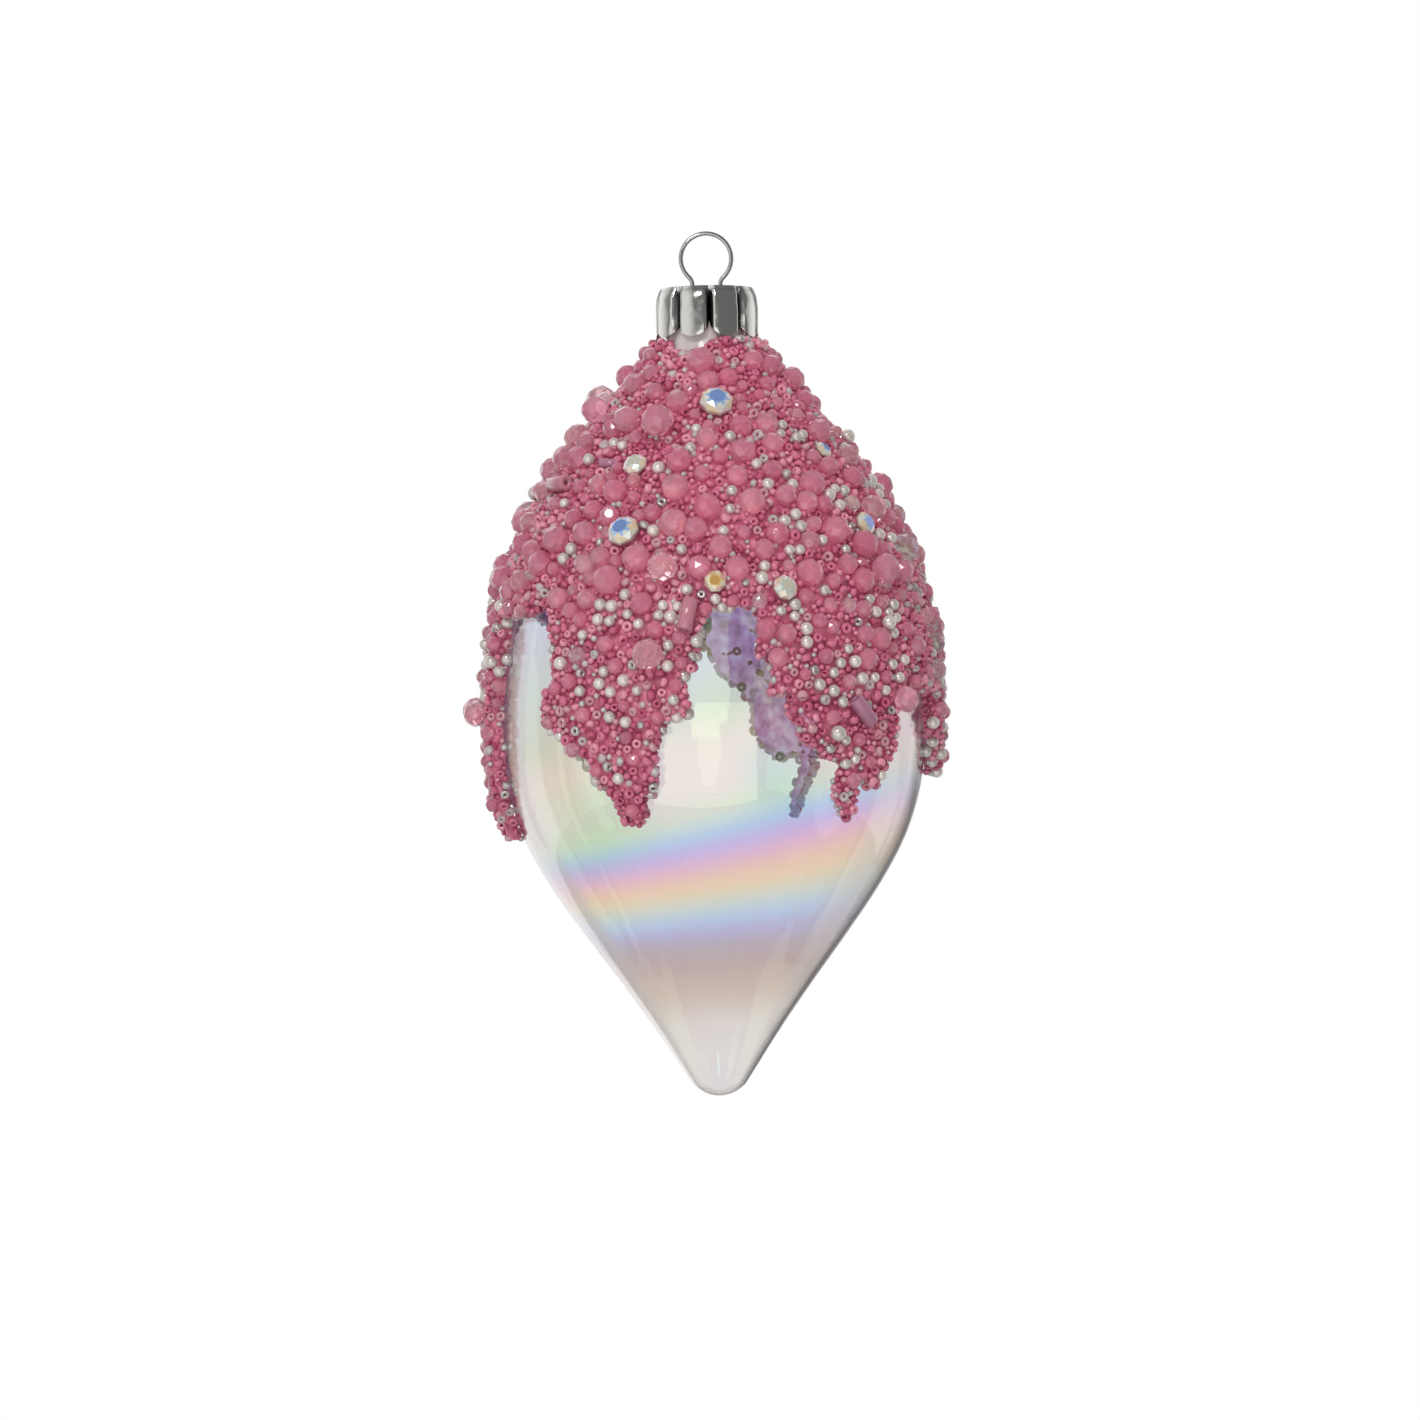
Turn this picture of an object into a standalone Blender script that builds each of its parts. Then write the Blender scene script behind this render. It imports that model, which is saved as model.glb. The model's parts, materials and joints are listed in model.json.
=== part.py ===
"""Beaded drop ornament: a blown glass drop, a crust of beads, a crown cap and a spring wire hanger.

Frame: metres, +Z up, front towards -Y. The origin is the point that the hook bears on: the
inside of the hanger loop, at its top. Azimuth 0 is the front and positive azimuth is to the
right, so that azimuth 90 is +X.
"""
import math
import random

import bmesh
import bpy
from mathutils import Matrix, Vector

MM = 0.001

# Glass drop: (height, outer radius) points of the turned outline, from the neck to the tip
GLASS_OUTLINE = [(z * MM, r * MM) for z, r in (
    (-14.0, 7.0), (-19.0, 7.0), (-27.0, 11.6), (-42.8, 24.6), (-56.0, 32.0), (-70.0, 36.0),
    (-86.0, 37.3), (-98.0, 36.0), (-108.0, 32.5), (-116.6, 27.3), (-132.4, 15.9), (-142.9, 8.6))]
GLASS_TOP_Z = -10.05 * MM
GLASS_TIP_Z = -151.2 * MM
GLASS_TIP_RADIUS = 6.0 * MM
GLASS_TIP_TANGENT = math.radians(36)
GLASS_TIP_ROWS = (0.2, 0.4, 0.6, 0.8)
GLASS_WALL = 1.1 * MM
GLASS_SEGMENTS = 36
GLASS_ROWS = 19
ROW_CROWDING = 1.3

# Crown cap: a flat disc with a skirt of rounded petals
CAP_TOP_Z = -9.4 * MM
CAP_HEIGHT = 8.8 * MM
CAP_SHEET = 0.4 * MM
CAP_DISC_RADIUS = 8.0 * MM
CAP_PETALS = 9
CAP_PETAL_COLUMNS = 8
CAP_PETAL_TURN = math.radians(-17)
CAP_PEAK_RADIUS = (8.45 * MM, 9.05 * MM)
CAP_VALLEY_RADIUS = (7.8 * MM, 8.0 * MM)
CAP_NOTCH = 2.7 * MM
CAP_EDGE_DROP = 0.48 * MM
CAP_BULGE_POWER = 0.7
CAP_SKIRT_ROWS = (0.0, 0.2, 0.45, 0.7, 0.88, 1.0)

# Spring wire hanger: a loop above the cap, two stubs through it and two legs inside the neck
WIRE_RADIUS = 0.4 * MM
LOOP_RADIUS = 4.44 * MM
LOOP_ARC_END = math.radians(45)
STUB_X = 2.45 * MM
STUB_BEND_Z = -9.3 * MM
STUB_END_Z = -11.7 * MM
BEND_REACH = 0.45
WIRE_HOLE_RADIUS = 0.65 * MM
WIRE_HOLE_CUT_DEPTH = 3.2 * MM
LEG_PIVOT_Z = -11.8 * MM
LEG_TOP_GAP = 0.25 * MM
LEG_LENGTH = 16.0 * MM
LEG_SPLAY = 0.29

# Bead crust: a shell of small beads bonded to the upper glass, running down in drips.
# Each drip is (azimuth of its tip, width to its left, width to its right, height of its tip,
# left and right flank), and its depth is (1 - across ** DRIP_SHOULDER) ** flank for across
# from 0 to 1, so a low flank is steep and a high one slants.
CRUST_TOP_Z = -19.4 * MM
CRUST_GAP = 0.5 * MM
CRUST_THICKNESS = 2.2 * MM
CRUST_COLUMNS = 60
CRUST_ROWS = 14
EDGE_COLUMNS = 120
EDGE_COLUMN_OFFSET = 0.37
CRUST_BASE_Z = -65.5 * MM
CRUST_BOTTOM_Z = -108.0 * MM
DRIP_SHOULDER = 1.25
DRIPS = [(math.radians(a), math.radians(left), math.radians(right), z * MM, left_flank, right_flank)
         for a, left, right, z, left_flank, right_flank in (
    (-24, 22, 21, -102, 0.33, 0.7), (44, 31, 11, -96, 0.27, 0.27), (37, 6, 5, -102.5, 0.35, 0.35),
    (71, 18, 16, -80, 0.2, 0.4), (92, 19, 13, -95, 0.3, 0.5), (133, 14, 12, -89, 0.5, 0.5),
    (154, 6, 6, -102, 0.3, 0.3), (163, 10, 8, -91.5, 0.3, 0.3), (172, 8, 9, -78.5, 0.2, 0.2),
    (-150, 18, 17, -98, 0.55, 0.55), (-87, 11, 13, -105, 0.5, 0.5))]

# Larger beads that stand on the crust, placed by (azimuth in degrees, height in millimetres,
# size as a share of the largest)
BEAD_GAP = 0.35 * MM
BEAD_CLEARANCE = 0.8 * MM
LISTED_BEAD_TURN = 0.7
STONE_RADIUS = 3.15 * MM
STONE_HEIGHT = 3.0 * MM
STONE_TABLE_SHARE = 0.55
STONE_GIRDLE_SHARES = (0.12, -0.05)
STONE_SIDES = 12
STONE_PLACES = ((4, -33.1, 1.0), (-25, -54.4, 1.0), (51, -53.4, 0.75), (19, -64.0, 0.75),
                (-27, -43.3, 0.75), (49, -41.0, 0.64), (1, -62.8, 0.64), (-172, -47.0, 1.0),
                (141, -58.0, 0.75), (-112, -56.0, 1.0))
TUBE_RADIUS = 1.4 * MM
TUBE_BORE_RADIUS = 0.5 * MM
TUBE_LENGTH = 5.6 * MM
TUBE_SIDES = 10
TUBE_PLACES = ((-6, -68.0, 1.0), (38, -84.0, 1.0), (-60, -46.0, 1.0), (100, -70.0, 1.0),
               (-140, -72.0, 1.0), (160, -74.0, 1.0))
FACETED_COUNT = 18
FACETED_RADII = (2.4 * MM, 3.2 * MM)
FACETED_HEIGHTS = (-86.0 * MM, -25.0 * MM)
PEARL_COUNT = 16
PEARL_RADII = (1.2 * MM, 1.6 * MM)
PEARL_HEIGHTS = (-92.0 * MM, -34.0 * MM)
BEAD_CROWDING = 1.3
DRIP_MARGIN = 4.0 * MM
SEED = 11


def clear_scene():
    for old in list(bpy.data.objects):
        bpy.data.objects.remove(old, do_unlink=True)


def make_material(name, colour, roughness, metallic=0.0, transmission=0.0):
    material = bpy.data.materials.new(name)
    material.use_nodes = True
    shader = material.node_tree.nodes["Principled BSDF"]
    shader.inputs["Base Color"].default_value = (*colour, 1.0)
    shader.inputs["Roughness"].default_value = roughness
    shader.inputs["Metallic"].default_value = metallic
    shader.inputs["Transmission Weight"].default_value = transmission
    return material


def add_object(name, data, material, parent=None):
    thing = bpy.data.objects.new(name, data)
    bpy.context.scene.collection.objects.link(thing)
    data.materials.append(material)
    thing.parent = parent
    return thing


def add_cutter(name, mesh):
    cutter = bpy.data.objects.new(name, mesh)
    bpy.context.scene.collection.objects.link(cutter)
    cutter.hide_render = True
    cutter.display_type = "WIRE"
    return cutter


def skin_rings(name, rings, smooth=True, flat_ends=False):
    """Closed mesh through rings of points, where a ring of one point is a pole.

    The last ring joins the first one, or both are closed with a flat face each.
    """
    bm = bmesh.new()
    rows = [[bm.verts.new(point) for point in ring] for ring in rings]
    if flat_ends:
        bm.faces.new(rows[0])
        bm.faces.new(rows[-1])
    following = rows[1:] if flat_ends else rows[1:] + rows[:1]
    for upper, lower in zip(rows, following):
        count = max(len(upper), len(lower))
        if count == 1:
            continue
        for i in range(count):
            corners = []
            for vert in (upper[i % len(upper)], upper[(i + 1) % len(upper)],
                         lower[(i + 1) % len(lower)], lower[i % len(lower)]):
                if vert not in corners:
                    corners.append(vert)
            bm.faces.new(corners)
    bmesh.ops.recalc_face_normals(bm, faces=bm.faces)
    mesh = bpy.data.meshes.new(name)
    bm.to_mesh(mesh)
    bm.free()
    if smooth:
        mesh.shade_smooth()
        mesh.set_sharp_from_angle(angle=math.radians(40))
    return mesh


def around(radius, azimuth, z):
    return Vector((radius * math.sin(azimuth), -radius * math.cos(azimuth), z))


def turned_ring(radius, z, segments):
    return [around(radius, math.tau * i / segments, z) for i in range(segments)]


# --- Glass drop ---

def tip_arc():
    """Centre height of the tip's arc, and the point where the straight side meets it."""
    centre_z = GLASS_TIP_Z + GLASS_TIP_RADIUS
    z = centre_z - GLASS_TIP_RADIUS * math.sin(GLASS_TIP_TANGENT)
    return centre_z, z, GLASS_TIP_RADIUS * math.cos(GLASS_TIP_TANGENT)


def outline_with_slopes():
    """Outline points down to the tip's arc, with the slope (radius per height) at each."""
    _, arc_z, arc_radius = tip_arc()
    points = GLASS_OUTLINE + [(arc_z, arc_radius)]
    steps = [(b[1] - a[1]) / (b[0] - a[0]) for a, b in zip(points, points[1:])]
    slopes = [0.0]
    for before, after in zip(steps, steps[1:]):
        same_way = before * after > 0
        slopes.append(2 * before * after / (before + after) if same_way else 0.0)
    slopes.append(math.tan(GLASS_TIP_TANGENT))
    return points, slopes


OUTLINE, SLOPES = outline_with_slopes()


def glass_radius(z):
    """Outer radius of the glass at a height."""
    if z >= OUTLINE[0][0]:
        return OUTLINE[0][1]
    centre_z, arc_z, _ = tip_arc()
    if z <= arc_z:
        return math.sqrt(max(0.0, GLASS_TIP_RADIUS ** 2 - (z - centre_z) ** 2))
    k = next(i for i in range(len(OUTLINE) - 1) if z >= OUTLINE[i + 1][0])
    (z0, r0), (z1, r1) = OUTLINE[k], OUTLINE[k + 1]
    span = z1 - z0
    t = (z - z0) / span
    return ((1 + 2 * t) * (1 - t) ** 2 * r0 + t * (1 - t) ** 2 * span * SLOPES[k]
            + t * t * (3 - 2 * t) * r1 + t * t * (t - 1) * span * SLOPES[k + 1])


def glass_normal(z):
    """Outward normal of the outline as (radial, up) parts."""
    step = 0.05 * MM
    slope = (glass_radius(z + step) - glass_radius(z - step)) / (2 * step)
    length = math.hypot(1.0, slope)
    return 1.0 / length, -slope / length


def offset_point(z, azimuth, distance):
    """Point at a distance outside the glass, measured along its normal."""
    radial, up = glass_normal(z)
    return around(glass_radius(z) + radial * distance, azimuth, z + up * distance)


def make_glass(material, parent):
    _, arc_z, _ = tip_arc()
    body_top = OUTLINE[1][0]
    heights = [OUTLINE[0][0], (OUTLINE[0][0] + body_top) / 2]
    for i in range(GLASS_ROWS + 1):
        heights.append(body_top + (arc_z - body_top) * (i / GLASS_ROWS) ** ROW_CROWDING)
    outer = [(OUTLINE[0][1], GLASS_TOP_Z)] + [(glass_radius(z), z) for z in heights]
    inner = [(OUTLINE[0][1] - GLASS_WALL, GLASS_TOP_Z)]
    for z in heights:
        radial, up = glass_normal(z)
        inner.append((glass_radius(z) - radial * GLASS_WALL, z - up * GLASS_WALL))
    centre_z, _, _ = tip_arc()
    for turn in GLASS_TIP_ROWS:
        angle = GLASS_TIP_TANGENT + (math.pi / 2 - GLASS_TIP_TANGENT) * turn
        for ring, radius in ((outer, GLASS_TIP_RADIUS), (inner, GLASS_TIP_RADIUS - GLASS_WALL)):
            ring.append((radius * math.cos(angle), centre_z - radius * math.sin(angle)))
    rings = [turned_ring(r, z, GLASS_SEGMENTS) for r, z in outer]
    rings.append([Vector((0, 0, GLASS_TIP_Z))])
    rings.append([Vector((0, 0, GLASS_TIP_Z + GLASS_WALL))])
    rings += [turned_ring(r, z, GLASS_SEGMENTS) for r, z in reversed(inner)]
    return add_object("glass_body", skin_rings("glass_body", rings), material, parent)


# --- Crown cap ---

def petal_offset(azimuth):
    """Place across the petal at an azimuth: -1 and 1 at its valleys, 0 at its middle."""
    turn = (azimuth - CAP_PETAL_TURN) * CAP_PETALS / math.tau
    return 2 * (turn - round(turn))


def cap_ring(row, inset):
    ring = []
    count = CAP_PETALS * CAP_PETAL_COLUMNS
    peak = CAP_PEAK_RADIUS[0] + (CAP_PEAK_RADIUS[1] - CAP_PEAK_RADIUS[0]) * row
    valley = CAP_VALLEY_RADIUS[0] + (CAP_VALLEY_RADIUS[1] - CAP_VALLEY_RADIUS[0]) * row
    for i in range(count):
        azimuth = CAP_PETAL_TURN + math.tau * i / count
        across = petal_offset(azimuth)
        bulge = math.sqrt(1 - min(1.0, across * across))
        bottom = CAP_TOP_Z - CAP_HEIGHT + CAP_NOTCH * (1 - bulge)
        top = CAP_TOP_Z - CAP_EDGE_DROP
        radius = valley + (peak - valley) * bulge ** CAP_BULGE_POWER - inset
        ring.append(around(radius, azimuth, top + (bottom - top) * row))
    return ring


def make_cap(material, parent):
    count = CAP_PETALS * CAP_PETAL_COLUMNS
    under_z = CAP_TOP_Z - CAP_SHEET
    rings = [turned_ring(CAP_DISC_RADIUS, CAP_TOP_Z, count)]
    rings += [cap_ring(row, 0.0) for row in CAP_SKIRT_ROWS]
    rings += [cap_ring(row, CAP_SHEET) for row in reversed(CAP_SKIRT_ROWS[1:])]
    rings.append(turned_ring(CAP_VALLEY_RADIUS[0] - CAP_SHEET, under_z, count))
    cap = add_object("cap", skin_rings("cap", rings, flat_ends=True), material, parent)
    for side in (-1, 1):
        cut = cap.modifiers.new("wire_hole", "BOOLEAN")
        cut.operation = "DIFFERENCE"
        cut.object = hole_cutter(side)
    return cap


def hole_cutter(side):
    bm = bmesh.new()
    bmesh.ops.create_cone(bm, cap_ends=True, segments=16, radius1=WIRE_HOLE_RADIUS,
                          radius2=WIRE_HOLE_RADIUS, depth=WIRE_HOLE_CUT_DEPTH)
    mesh = bpy.data.meshes.new("wire_hole_cutter")
    bm.to_mesh(mesh)
    bm.free()
    cutter = add_cutter("wire_hole_cutter", mesh)
    cutter.location = (side * STUB_X, 0, CAP_TOP_Z - CAP_SHEET / 2)
    return cutter


# --- Spring wire hanger ---

def wire_object(name, points, material, parent):
    curve = bpy.data.curves.new(name, "CURVE")
    curve.dimensions = "3D"
    curve.bevel_depth = WIRE_RADIUS
    curve.bevel_resolution = 2
    curve.use_fill_caps = True
    spline = curve.splines.new("POLY")
    spline.points.add(len(points) - 1)
    for target, point in zip(spline.points, points):
        target.co = (*point, 1.0)
    return add_object(name, curve, material, parent)


def half_loop(side):
    """Path from the stub's lower end, out through the bend and round to the top of the loop."""
    centre_z = WIRE_RADIUS - LOOP_RADIUS
    start = Vector((side * STUB_X, 0, STUB_BEND_Z))
    end = Vector((side * LOOP_RADIUS * math.sin(LOOP_ARC_END), 0,
                  centre_z - LOOP_RADIUS * math.cos(LOOP_ARC_END)))
    tangent = Vector((side * math.cos(LOOP_ARC_END), 0, math.sin(LOOP_ARC_END)))
    reach = (end - start).length * BEND_REACH
    handles = (start, start + Vector((0, 0, reach)), end - tangent * reach, end)
    points = [Vector((side * STUB_X, 0, STUB_END_Z)), start]
    bend_steps = 4
    for i in range(1, bend_steps):
        t = i / bend_steps
        weights = ((1 - t) ** 3, 3 * t * (1 - t) ** 2, 3 * t * t * (1 - t), t ** 3)
        points.append(sum((w * h for w, h in zip(weights, handles)), Vector()))
    arc_steps = 14
    for i in range(arc_steps + 1):
        angle = LOOP_ARC_END + (math.pi - LOOP_ARC_END) * i / arc_steps
        points.append(Vector((side * LOOP_RADIUS * math.sin(angle), 0,
                              centre_z - LOOP_RADIUS * math.cos(angle))))
    return points


def make_hanger(material):
    left, right = half_loop(-1), half_loop(1)
    return wire_object("hanger_ring", left + right[-2::-1], material, None)


def make_leg(name, side, material, parent):
    points = [Vector((0, 0, -LEG_TOP_GAP)), Vector((0, 0, -LEG_LENGTH / 2)), Vector((0, 0, -LEG_LENGTH))]
    leg = wire_object(name, points, material, parent)
    leg.location = (side * STUB_X, 0, LEG_PIVOT_Z)
    leg.rotation_euler = (0, -side * LEG_SPLAY, 0)
    return leg


# --- Bead crust ---

def crust_edge(azimuth):
    """Height of the crust's lower edge: the deepest of the drips at that azimuth."""
    lowest = CRUST_BASE_Z
    for tip, left, right, tip_z, left_flank, right_flank in DRIPS:
        offset = (azimuth - tip + math.pi) % math.tau - math.pi
        across = abs(offset) / (left if offset < 0 else right)
        if across < 1:
            flank = left_flank if offset < 0 else right_flank
            depth = (1 - across ** DRIP_SHOULDER) ** flank
            lowest = min(lowest, CRUST_BASE_Z + (tip_z - CRUST_BASE_Z) * depth)
    return lowest


def make_crust(material, parent):
    """Band of even thickness over the glass, with everything below its lower edge cut away."""
    heights = []
    for i in range(CRUST_ROWS + 1):
        heights.append(CRUST_TOP_Z + (CRUST_BOTTOM_Z - CRUST_TOP_Z) * (i / CRUST_ROWS) ** ROW_CROWDING)
    rings = [offset_ring(z, CRUST_GAP + CRUST_THICKNESS) for z in heights]
    rings += [offset_ring(z, CRUST_GAP) for z in reversed(heights)]
    crust = add_object("bead_crust", skin_rings("bead_crust", rings), material, parent)
    cut = crust.modifiers.new("drip_edge", "BOOLEAN")
    cut.operation = "DIFFERENCE"
    cut.object = edge_cutter()
    return crust


def offset_ring(z, distance):
    return [offset_point(z, math.tau * i / CRUST_COLUMNS, distance) for i in range(CRUST_COLUMNS)]


def edge_cutter():
    """Thick curtain round the axis whose top follows the crust's lower edge."""
    inner, outer = 3 * MM, 60 * MM
    bottom_z = CRUST_BOTTOM_Z - 10 * MM
    azimuths = [math.tau * (i + EDGE_COLUMN_OFFSET) / EDGE_COLUMNS for i in range(EDGE_COLUMNS)]
    top = [(azimuth, crust_edge(azimuth)) for azimuth in azimuths]
    rings = [[around(outer, azimuth, z) for azimuth, z in top],
             [around(outer, azimuth, bottom_z) for azimuth in azimuths],
             [around(inner, azimuth, bottom_z) for azimuth in azimuths],
             [around(inner, azimuth, z) for azimuth, z in top]]
    return add_cutter("drip_edge_cutter", skin_rings("drip_edge_cutter", rings, smooth=False))


# --- Larger beads ---

def seat_bead(bead, azimuth, z, half_height, turn=0.0):
    """Stand a bead on the crust with its own Z along the crust's normal."""
    lift = CRUST_GAP + CRUST_THICKNESS + BEAD_GAP + half_height
    bead.location = offset_point(z, azimuth, lift)
    radial, up = glass_normal(z)
    normal = around(radial, azimuth, up)
    facing = normal.to_track_quat("Z", "Y")
    bead.rotation_euler = facing.to_euler()
    bead.rotation_euler.rotate_axis("Z", turn)


def ball_mesh(name):
    """Ball of unit radius with eighty flat facets."""
    bm = bmesh.new()
    bmesh.ops.create_icosphere(bm, subdivisions=2, radius=1.0)
    mesh = bpy.data.meshes.new(name)
    bm.to_mesh(mesh)
    bm.free()
    return mesh


def stone_mesh(name):
    """Round cut stone: flat table, sloping crown, girdle and pointed back."""
    rings = [[Vector((0, 0, STONE_HEIGHT / 2))],
             turned_ring(STONE_RADIUS * STONE_TABLE_SHARE, STONE_HEIGHT / 2, STONE_SIDES)]
    rings += [turned_ring(STONE_RADIUS, STONE_HEIGHT * share, STONE_SIDES)
              for share in STONE_GIRDLE_SHARES]
    rings.append([Vector((0, 0, -STONE_HEIGHT / 2))])
    return skin_rings(name, rings, smooth=False)


def tube_mesh(name):
    """Short tube lying along its own X, with a bore."""
    half = TUBE_LENGTH / 2
    rings = []
    for radius, x in ((TUBE_RADIUS, -half), (TUBE_RADIUS, half),
                      (TUBE_BORE_RADIUS, half), (TUBE_BORE_RADIUS, -half)):
        rings.append([Vector((x, p.x, p.y)) for p in turned_ring(radius, 0, TUBE_SIDES)])
    return skin_rings(name, rings, smooth=False)


def free_place(rng, heights, radius, taken):
    """Random place on the crust, clear of the beads already there and of the crust's edge."""
    while True:
        azimuth = rng.uniform(-math.pi, math.pi)
        z = heights[0] + (heights[1] - heights[0]) * rng.random() ** BEAD_CROWDING
        if z < crust_edge(azimuth) + DRIP_MARGIN:
            continue
        centre = offset_point(z, azimuth, CRUST_THICKNESS + radius)
        if all((centre - other).length > radius + reach + BEAD_CLEARANCE for other, reach in taken):
            taken.append((centre, radius))
            return azimuth, z


def make_listed_beads(stem, places, mesh, half_height, reach, material, parent, taken):
    for number, (azimuth_deg, z_mm, size) in enumerate(places, start=1):
        azimuth, z = math.radians(azimuth_deg), z_mm * MM
        own = mesh.copy()
        own.transform(Matrix.Scale(size, 4))
        bead = add_object(f"{stem}_{number}", own, material, parent)
        seat_bead(bead, azimuth, z, half_height * size, turn=LISTED_BEAD_TURN * number)
        taken.append((offset_point(z, azimuth, CRUST_THICKNESS + half_height * size), reach * size))


def make_scattered_beads(stem, count, radii, heights, material, parent, taken, rng):
    for number in range(1, count + 1):
        radius = rng.uniform(*radii)
        azimuth, z = free_place(rng, heights, radius, taken)
        mesh = ball_mesh(f"{stem}_{number:02d}")
        for vert in mesh.vertices:
            vert.co = vert.co * radius
        bead = add_object(f"{stem}_{number:02d}", mesh, material, parent)
        seat_bead(bead, azimuth, z, radius, turn=number)


def build():
    clear_scene()
    rng = random.Random(SEED)
    wire = make_material("spring_wire", (0.55, 0.55, 0.56), 0.3, metallic=1.0)
    silver = make_material("silver_cap", (0.62, 0.60, 0.58), 0.15, metallic=1.0)
    glass = make_material("clear_glass", (0.92, 0.92, 0.93), 0.03, transmission=1.0)
    pink = make_material("pink_crust", (0.52, 0.13, 0.2), 0.4)
    rose = make_material("rose_bead", (0.6, 0.2, 0.28), 0.12)
    pearl = make_material("pearl", (0.75, 0.68, 0.6), 0.2)
    crystal = make_material("crystal_stone", (0.7, 0.75, 0.85), 0.05)

    hanger = make_hanger(wire)
    make_leg("spring_leg_left", -1, wire, hanger)
    make_leg("spring_leg_right", 1, wire, hanger)
    cap = make_cap(silver, hanger)
    body = make_glass(glass, cap)
    make_crust(pink, body)

    taken = []
    make_listed_beads("crystal_stone", STONE_PLACES, stone_mesh("crystal_stone"),
                      STONE_HEIGHT / 2, STONE_RADIUS, crystal, body, taken)
    make_listed_beads("tube_bead", TUBE_PLACES, tube_mesh("tube_bead"),
                      TUBE_RADIUS, TUBE_LENGTH / 2, rose, body, taken)
    make_scattered_beads("faceted_bead", FACETED_COUNT, FACETED_RADII, FACETED_HEIGHTS,
                         rose, body, taken, rng)
    make_scattered_beads("pearl", PEARL_COUNT, PEARL_RADII, PEARL_HEIGHTS,
                         pearl, body, taken, rng)


build()
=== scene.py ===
"""Looks for the beaded glass drop ornament: lustred glass, glue and beads, crown cap, wire, studio.

Everything is in metres in the row's frame: +Z up, front towards -Y, origin at the hook's
contact point inside the hanger loop. Azimuth 0 is the front and azimuth 90 is +X.
"""
import json
import math

import bmesh
import bpy
import numpy as np
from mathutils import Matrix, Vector, noise
from mathutils.bvhtree import BVHTree


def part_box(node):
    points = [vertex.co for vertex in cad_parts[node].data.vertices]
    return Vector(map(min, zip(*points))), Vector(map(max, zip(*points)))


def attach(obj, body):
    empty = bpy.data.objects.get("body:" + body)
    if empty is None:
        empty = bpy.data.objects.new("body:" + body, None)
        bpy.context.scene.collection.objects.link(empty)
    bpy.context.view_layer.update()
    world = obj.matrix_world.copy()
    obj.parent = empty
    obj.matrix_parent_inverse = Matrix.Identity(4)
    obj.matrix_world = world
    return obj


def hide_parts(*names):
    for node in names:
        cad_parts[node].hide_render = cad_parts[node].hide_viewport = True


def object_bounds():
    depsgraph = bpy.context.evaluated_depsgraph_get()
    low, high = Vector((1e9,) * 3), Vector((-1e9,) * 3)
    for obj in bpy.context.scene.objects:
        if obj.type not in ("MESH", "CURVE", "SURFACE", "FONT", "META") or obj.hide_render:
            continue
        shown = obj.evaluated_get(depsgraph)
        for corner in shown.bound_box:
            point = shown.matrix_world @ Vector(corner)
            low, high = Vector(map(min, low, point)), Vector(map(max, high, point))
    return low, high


MM = 0.001
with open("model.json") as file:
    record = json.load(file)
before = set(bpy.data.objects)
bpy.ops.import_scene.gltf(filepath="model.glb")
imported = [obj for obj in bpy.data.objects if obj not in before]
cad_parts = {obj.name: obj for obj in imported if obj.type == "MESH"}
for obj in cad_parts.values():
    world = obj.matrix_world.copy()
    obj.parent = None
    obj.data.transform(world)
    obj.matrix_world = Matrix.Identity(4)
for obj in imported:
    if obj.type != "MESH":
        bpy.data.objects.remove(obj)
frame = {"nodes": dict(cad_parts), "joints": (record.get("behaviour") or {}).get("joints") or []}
CAD_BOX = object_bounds()
rng = np.random.default_rng(23)
FULL_RGB = 255

# Glass
GLASS_WALL = 0.75 * MM
GLASS_TIP_WALL = 0.4 * MM
GLASS_TIP_REACH = 12 * MM     # how far above the tip the wall starts to thin
GLASS_SEGMENTS = 144
GLASS_POINTS = 150
LUSTRE_FILM = 420.0           # thickness of the film in nanometres
# Lustre bands down the axis, partly the film's own colour and partly painted reflections of the
# studio's lights: (height in millimetres, colour seen against white, 0 to 255)
BANDS = ((-60, (198, 204, 222)), (-74, (200, 209, 216)), (-82, (202, 212, 202)),
         (-88, (224, 218, 212)), (-96, (226, 218, 214)), (-100, (216, 222, 204)),
         (-102, (204, 221, 212)), (-104.5, (180, 206, 228)), (-107, (196, 184, 226)),
         (-109.5, (222, 184, 208)), (-112, (232, 200, 180)), (-114.5, (229, 212, 176)),
         (-117, (206, 218, 204)), (-119.5, (184, 206, 228)), (-122, (181, 180, 210)),
         (-124.5, (183, 172, 180)), (-128, (190, 173, 165)), (-133, (204, 190, 176)),
         (-138, (219, 216, 206)), (-143, (223, 222, 214)), (-151, (221, 221, 218)))
# Patches where the painted lustre and reflection colour differs: (x, height, reach in millimetres,
# tint of each wall)
LUSTRE_REFLECTION_PATCHES = ((11, -95, 10, (0.86, 1.0, 0.98)), (-31, -80, 16, (1.0, 1.0, 0.93)),
                  (-28, -92, 14, (1.0, 0.96, 0.92)), (2, -83, 9, (0.96, 1.0, 0.96)),
                  (33, -90, 14, (0.98, 0.90, 0.93)), (-21, -102, 14, (0.88, 0.99, 0.87)),
                  (18, -130, 8, (0.90, 0.90, 0.89)))
BAND_GAIN = 1.09
BAND_TILT_TOP = 0.24          # slope of the upper bands and of the lower ones
BAND_TILT_LOW = 0.04
BAND_TILT_HEIGHTS = (-0.104, -0.124)
BAND_WANDER = 0.006           # how far the noise moves the bands, in metres
# Painted shade that greys the glass towards its outline: where it starts and ends, from 0 facing to
# 1 edge-on
LIMB = (0.42, 0.58)
LIMB_LEAN = 2.6               # how much earlier it starts for each metre to the right, so the painted shade is stronger on the right side
LIMB_SHADE_COLOUR = (0.79, 0.755, 0.745)

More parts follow.
